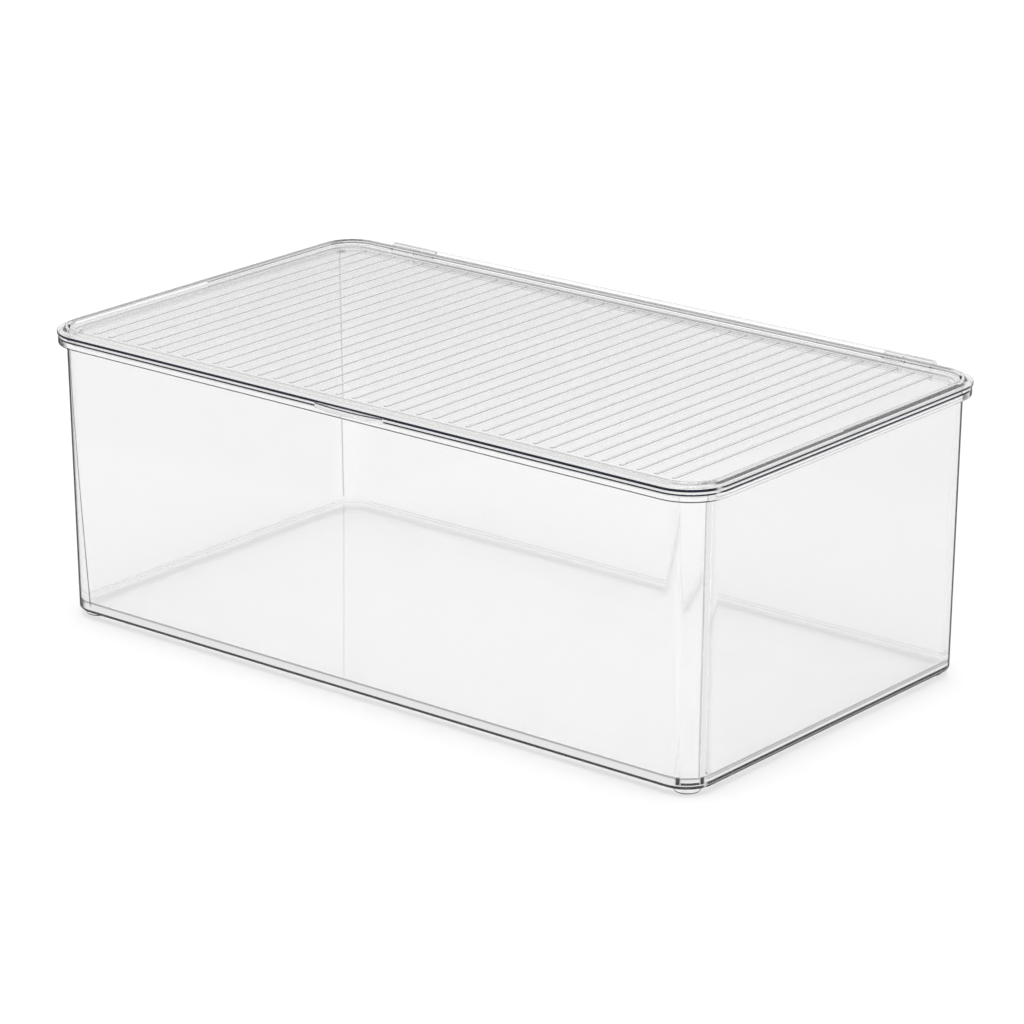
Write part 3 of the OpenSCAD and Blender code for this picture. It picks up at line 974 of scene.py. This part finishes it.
    links.new(lamp.outputs["BSDF"], mix.inputs[2])
    # Painted shade: for camera rays, rounded upright surfaces seen at a grazing angle are partly replaced by a
    # near-black emission, standing in for their dark refracted edges; the share differs between the left and the right
    # side.
    grazing_shade = nodes.new("ShaderNodeEmission")
    grazing_shade.inputs["Color"].default_value = (0.012, 0.014, 0.03, 1)
    edge_on = smooth_step(nodes, links, grazing.outputs["Facing"], GRAZING_SHADE_FROM, GRAZING_SHADE_TO)
    turn = nodes.new("ShaderNodeSeparateXYZ")
    links.new(place.outputs["Normal"], turn.inputs[0])
    sizes = [calculate(nodes, links, "ABSOLUTE", turn.outputs[axis]) for axis in "XYZ"]
    rounded_post = calculate(nodes, links, "MULTIPLY", calculate(nodes, links, "LESS_THAN", sizes[2], 0.35),
                             calculate(nodes, links, "GREATER_THAN", calculate(nodes, links, "MINIMUM", *sizes[:2]), 0.1))
    left = calculate(nodes, links, "LESS_THAN", spot.outputs["X"], 0.0)
    grazing_shade_share = calculate(nodes, links, "ADD", calculate(nodes, links, "MULTIPLY", left, grazing_shade_sides[0] - grazing_shade_sides[1]),
                          grazing_shade_sides[1])
    with_grazing_shade = nodes.new("ShaderNodeMixShader")
    links.new(calculate(nodes, links, "MULTIPLY", calculate(nodes, links, "MULTIPLY", edge_on, rounded_post),
                        calculate(nodes, links, "MULTIPLY", path.outputs["Is Camera Ray"], grazing_shade_share)),
              with_grazing_shade.inputs["Fac"])
    links.new(mix.outputs["Shader"], with_grazing_shade.inputs[1])
    links.new(grazing_shade.outputs["Emission"], with_grazing_shade.inputs[2])
    # Painted light: a ray still reflecting inside the plastic after END_DEPTH reflections ends on a flat light-grey
    # glow, standing in for the light carried through the plastic.
    inner_glow = nodes.new("ShaderNodeEmission")
    inner_glow.inputs["Color"].default_value = (END_GLOW, END_GLOW, END_GLOW, 1)
    last = nodes.new("ShaderNodeMixShader")
    links.new(calculate(nodes, links, "GREATER_THAN", path.outputs["Glossy Depth"], END_DEPTH - 0.5),
              last.inputs["Fac"])
    links.new(with_grazing_shade.outputs["Shader"], last.inputs[1])
    links.new(inner_glow.outputs["Emission"], last.inputs[2])
    links.new(last.outputs["Shader"], nodes["Material Output"].inputs["Surface"])
    links.new(absorb.outputs["Volume"], nodes["Material Output"].inputs["Volume"])
    return material


def clear_pad(name):
    """Soft clear pads with a painted dark outline, as shade at their grazing edges and along their bottom, hardly seen
    through the box.
    """
    material = bpy.data.materials.new(name)
    material.use_nodes = True
    nodes = material.node_tree.nodes
    links = material.node_tree.links
    shader = nodes["Principled BSDF"]
    shader.inputs["Roughness"].default_value = 0.0
    shader.inputs["IOR"].default_value = PAD_IOR
    shader.inputs["Transmission Weight"].default_value = 1.0
    grazing = nodes.new("ShaderNodeLayerWeight")
    grazing.inputs["Blend"].default_value = 0.5
    # Painted shade: the pad's grazing edges and its bottom are mixed towards near-black.
    outline = smooth_step(nodes, links, grazing.outputs["Facing"], 0.5, 0.64)
    place = nodes.new("ShaderNodeTexCoord")
    spot = nodes.new("ShaderNodeSeparateXYZ")
    links.new(place.outputs["Object"], spot.inputs[0])
    under = calculate(nodes, links, "SUBTRACT", 1.0, smooth_step(nodes, links, spot.outputs["Z"], 0.0006, 0.0009))
    dark = calculate(nodes, links, "MULTIPLY", calculate(nodes, links, "MAXIMUM", outline, under), 0.99)
    colour_and_shade = nodes.new("ShaderNodeMix")
    colour_and_shade.data_type = "RGBA"
    colour_and_shade.inputs["A"].default_value = (0.93, 0.93, 0.94, 1)
    colour_and_shade.inputs["B"].default_value = SHADE_LINE_COLOUR
    links.new(dark, colour_and_shade.inputs["Factor"])
    links.new(colour_and_shade.outputs["Result"], shader.inputs["Base Color"])
    clear = nodes.new("ShaderNodeBsdfTransparent")
    path = nodes.new("ShaderNodeLightPath")
    light = calculate(nodes, links, "MAXIMUM", path.outputs["Is Shadow Ray"], path.outputs["Is Diffuse Ray"])
    passing = calculate(nodes, links, "MAXIMUM", light, path.outputs["Is Transmission Ray"])
    mix = nodes.new("ShaderNodeMixShader")
    links.new(passing, mix.inputs["Fac"])
    links.new(shader.outputs["BSDF"], mix.inputs[1])
    links.new(clear.outputs["BSDF"], mix.inputs[2])
    links.new(mix.outputs["Shader"], nodes["Material Output"].inputs["Surface"])
    return material


bin_acrylic = clear_plastic("bin_acrylic", BIN_COLOUR, BIN_DENSITY, BIN_LINES, BIN_MOTTLE, BIN_GRAZING_SHADE)
lid_acrylic = clear_plastic("lid_acrylic", LID_COLOUR, LID_DENSITY, LID_LINES, LID_MOTTLE, LID_GRAZING_SHADE)
pad = clear_pad("clear_pad")

bin_shell = make_bin()
combine(bin_shell, [bar("groove", GROOVE_RADIUS, -KNUCKLE_OUTER, KNUCKLE_OUTER)], "DIFFERENCE")
combine(bin_shell, [make_knuckle(1), make_knuckle(-1)], "UNION")
combine(bin_shell, [
    bar("bore", PIN_DIAMETER / 2 + 0.02, KNUCKLE_INNER - 1, KNUCKLE_OUTER + 1),
    bar("bore", PIN_DIAMETER / 2 + 0.02, -KNUCKLE_INNER + 1, -KNUCKLE_OUTER - 1),
], "DIFFERENCE")
bin_shell.data.materials.append(bin_acrylic)
tidy_surface(bin_shell)

lid_shell = make_lid()
combine(lid_shell, [bar("barrel", BARREL_RADIUS, -BARREL_HALF, BARREL_HALF, 0.35), make_tab()], "UNION")
cuts = []
for side in (-1, 1):
    cuts.append(bar("bore", PIN_DIAMETER / 2 + PIN_PLAY,
                    side * (BARREL_HALF - PIN_REACH - BORE_SPARE), side * (BARREL_HALF + 1)))
    near = side * BARREL_HALF
    far = side * (BARREL_HALF + KNUCKLE_LENGTH + 2 * KNUCKLE_GAP)
    notch = [(near, HINGE_Y - GROOVE_RADIUS), (far, HINGE_Y - GROOVE_RADIUS), (far, HINGE_Y + 1), (near, HINGE_Y + 1)]
    cuts.append(prism("notch", notch, LID_UNDER - 1, LID_TOP + 1, upright))
combine(lid_shell, cuts, "DIFFERENCE")
ribs = lid_shell.modifiers.new("ribs", "NODES")
ribs.node_group = rib_tree()
set_inputs(ribs, {
    "Rib count": RIB_COUNT,
    "Rib pitch": RIB_PITCH * MM,
    "Rib length": (DEPTH - 2 * RIB_END_MARGIN) * MM,
    "Rib width": RIB_WIDTH * MM,
    "Rib height": RIB_SHOWN * MM,
    "Panel height": PANEL_TOP * MM,
    "Middle": -MIDDLE_Y * MM,
    "Finish": lid_acrylic,
})
evaluated(lid_shell)
tidy_surface(lid_shell)

for name, node in list(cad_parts.items()):
    if not name.startswith("foot"):
        continue
    side_x = 1 if name.endswith("right") else -1
    side_y = 1 if "back" in name else -1
    foot = make_foot(name + "_pad", side_x, side_y)
    foot.data.materials.append(pad)
    tidy_surface(foot)
    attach(foot, "bin")
    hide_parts(name)

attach(bin_shell, "bin")
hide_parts("bin")
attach(lid_shell, "lid")
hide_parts("lid")
for name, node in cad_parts.items():
    node.data.materials.clear()
    node.data.materials.append(pad if name.startswith("foot") else bin_acrylic)


# Floor and surroundings, shown white to the camera and through the plastic
def seen_directly(nodes, links):
    """1 for rays from the camera, from reflections and through the plastic, and 0 for light."""
    path = nodes.new("ShaderNodeLightPath")
    first = nodes.new("ShaderNodeMath")
    first.operation = "MAXIMUM"
    second = nodes.new("ShaderNodeMath")
    second.operation = "MAXIMUM"
    links.new(path.outputs["Is Camera Ray"], first.inputs[0])
    links.new(path.outputs["Is Glossy Ray"], first.inputs[1])
    links.new(first.outputs[0], second.inputs[0])
    links.new(path.outputs["Is Transmission Ray"], second.inputs[1])
    return second.outputs[0]


def make_floor():
    bpy.ops.mesh.primitive_plane_add(size=12, location=(0, 0, 0))
    floor = bpy.context.object
    floor.name = "floor"
    material = bpy.data.materials.new("floor_white")
    material.use_nodes = True
    nodes = material.node_tree.nodes
    links = material.node_tree.links
    plain = nodes["Principled BSDF"]
    plain.inputs["Roughness"].default_value = 1.0
    plain.inputs["Specular IOR Level"].default_value = 0.0
    plain.inputs["Base Color"].default_value = (0.85, 0.85, 0.85, 1)
    glow = nodes.new("ShaderNodeEmission")
    glow.inputs["Strength"].default_value = SEEN_STRENGTH
    depth = nodes.new("ShaderNodeLightPath")
    fade = nodes.new("ShaderNodeValToRGB")
    stops = fade.color_ramp.elements
    for _ in range(2):
        stops.new(1.0)
    for stop, (count, share) in zip(stops, ((0, 1.0), (1, REFLECTED), (3, REFLECTED), (8, 1.0))):
        stop.position = count / 64
        stop.color = (share, share, share, 1)
    links.new(calculate(nodes, links, "DIVIDE", depth.outputs["Glossy Depth"], 64.0), fade.inputs["Fac"])
    links.new(fade.outputs["Color"], glow.inputs["Color"])
    mix = nodes.new("ShaderNodeMixShader")
    share = nodes.new("ShaderNodeMath")
    share.operation = "MULTIPLY"
    share.inputs[1].default_value = SEEN_SHARE
    mirrored = calculate(nodes, links, "MULTIPLY", calculate(
        nodes, links, "MINIMUM", depth.outputs["Glossy Depth"], 1.0), 1.0 / SEEN_SHARE)
    links.new(calculate(nodes, links, "MAXIMUM", seen_directly(nodes, links), mirrored), share.inputs[0])
    links.new(share.outputs[0], mix.inputs["Fac"])
    links.new(plain.outputs["BSDF"], mix.inputs[1])
    links.new(glow.outputs["Emission"], mix.inputs[2])
    links.new(mix.outputs["Shader"], nodes["Material Output"].inputs["Surface"])
    floor.data.materials.append(material)


def make_surroundings():
    world = bpy.data.worlds.new("studio")
    bpy.context.scene.world = world
    world.use_nodes = True
    nodes = world.node_tree.nodes
    links = world.node_tree.links
    background = nodes["Background"]
    coordinates = nodes.new("ShaderNodeTexCoord")
    split = nodes.new("ShaderNodeSeparateXYZ")
    links.new(coordinates.outputs["Generated"], split.inputs[0])

    def bands(stops_wanted):
        ramp = nodes.new("ShaderNodeValToRGB")
        stops = ramp.color_ramp.elements
        while len(stops) < len(stops_wanted):
            stops.new(1.0)
        for stop, (place, level) in zip(stops, stops_wanted):
            stop.position = place
            stop.color = (level, level, level, 1)
        links.new(split.outputs["Z"], ramp.inputs["Fac"])
        return ramp.outputs["Color"]

    mirrored = bands([
        (0.0, 1.0), (0.15, 1.0), (0.23, SKY_LOW), (0.265, SKY_LOW), (0.286, SKY_MID), (0.313, SKY_HIGH),
        (0.4, 0.8), (0.6, 0.5), (0.86, 0.3), (0.9, SKY_TOP)
    ])
    through = bands([(0.0, 1.0), (0.06, 1.0), (0.14, SKY_THROUGH), (0.86, SKY_THROUGH), (0.9, 1.0)])
    path = nodes.new("ShaderNodeLightPath")
    choose = nodes.new("ShaderNodeMix")
    choose.data_type = "RGBA"
    links.new(path.outputs["Is Transmission Ray"], choose.inputs["Factor"])
    links.new(mirrored, choose.inputs["A"])
    links.new(through, choose.inputs["B"])
    seen = nodes.new("ShaderNodeMix")
    seen.data_type = "RGBA"
    seen.inputs["B"].default_value = (1, 1, 1, 1)
    links.new(path.outputs["Is Camera Ray"], seen.inputs["Factor"])
    links.new(choose.outputs["Result"], seen.inputs["A"])
    links.new(seen.outputs["Result"], background.inputs["Color"])
    background.inputs["Strength"].default_value = 1.0


make_floor()
make_surroundings()

# Camera, placed from the photograph
camera_azimuth = math.radians(39.37)
camera_elevation = math.radians(18.65)
camera_distance = 1.77098
camera_target = Vector((15.92, -16.09, 64)) * MM
data = bpy.data.cameras.new("camera")
camera = new_object("camera", data)
data.lens = 154.556
data.sensor_width = 36
back = Vector((
    math.sin(camera_azimuth) * math.cos(camera_elevation),
    -math.cos(camera_azimuth) * math.cos(camera_elevation),
    math.sin(camera_elevation),
))
camera.location = camera_target + back * camera_distance
camera.rotation_mode = "QUATERNION"
camera.rotation_quaternion = (-back).to_track_quat("-Z", "Y")
data.clip_end = 50
bpy.context.scene.camera = camera
bpy.context.scene.view_settings.view_transform = "Standard"
bpy.context.scene.cycles.max_bounces = BOUNCES
bpy.context.scene.cycles.transmission_bounces = BOUNCES
bpy.context.scene.cycles.glossy_bounces = BOUNCES
